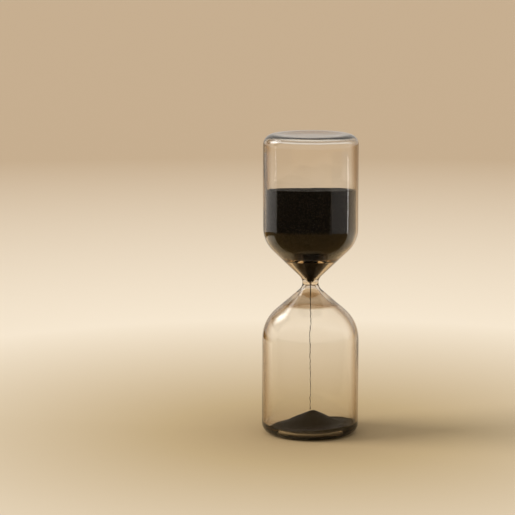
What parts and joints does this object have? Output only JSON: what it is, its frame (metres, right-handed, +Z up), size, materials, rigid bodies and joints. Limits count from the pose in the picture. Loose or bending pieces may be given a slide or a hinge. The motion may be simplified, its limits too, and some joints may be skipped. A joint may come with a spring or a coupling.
{
  "type": "sand timer",
  "caption": "Frameless sand timer: two smoke-tinted blown glass bulbs joined by a thick pierced neck, with black sand running from the upper to the lower bulb.",
  "frame": {"origin": "centre of the ring that the timer stands on", "axes": "+Z up along the glass's axis of revolution, from the lower bulb to the upper one; the surfaces of both bodies of sand fall towards +Y, and the bed of lower sand also rises towards +X"},
  "size_m": [0.0804, 0.0804, 0.25],
  "materials": {
    "smoke_glass": "clear, light smoke-brown tint, fire-polished",
    "black_sand": "matte, fine loose grains"
  },
  "bodies": {
    "root": {"upper_bulb": "smoke_glass", "neck": "smoke_glass", "lower_bulb": "smoke_glass", "fill_seal": "smoke_glass", "upper_sand": "black_sand", "sand_stream": "black_sand", "falling_grains": "black_sand", "lower_sand": "black_sand"}
  },
  "joints": []
}
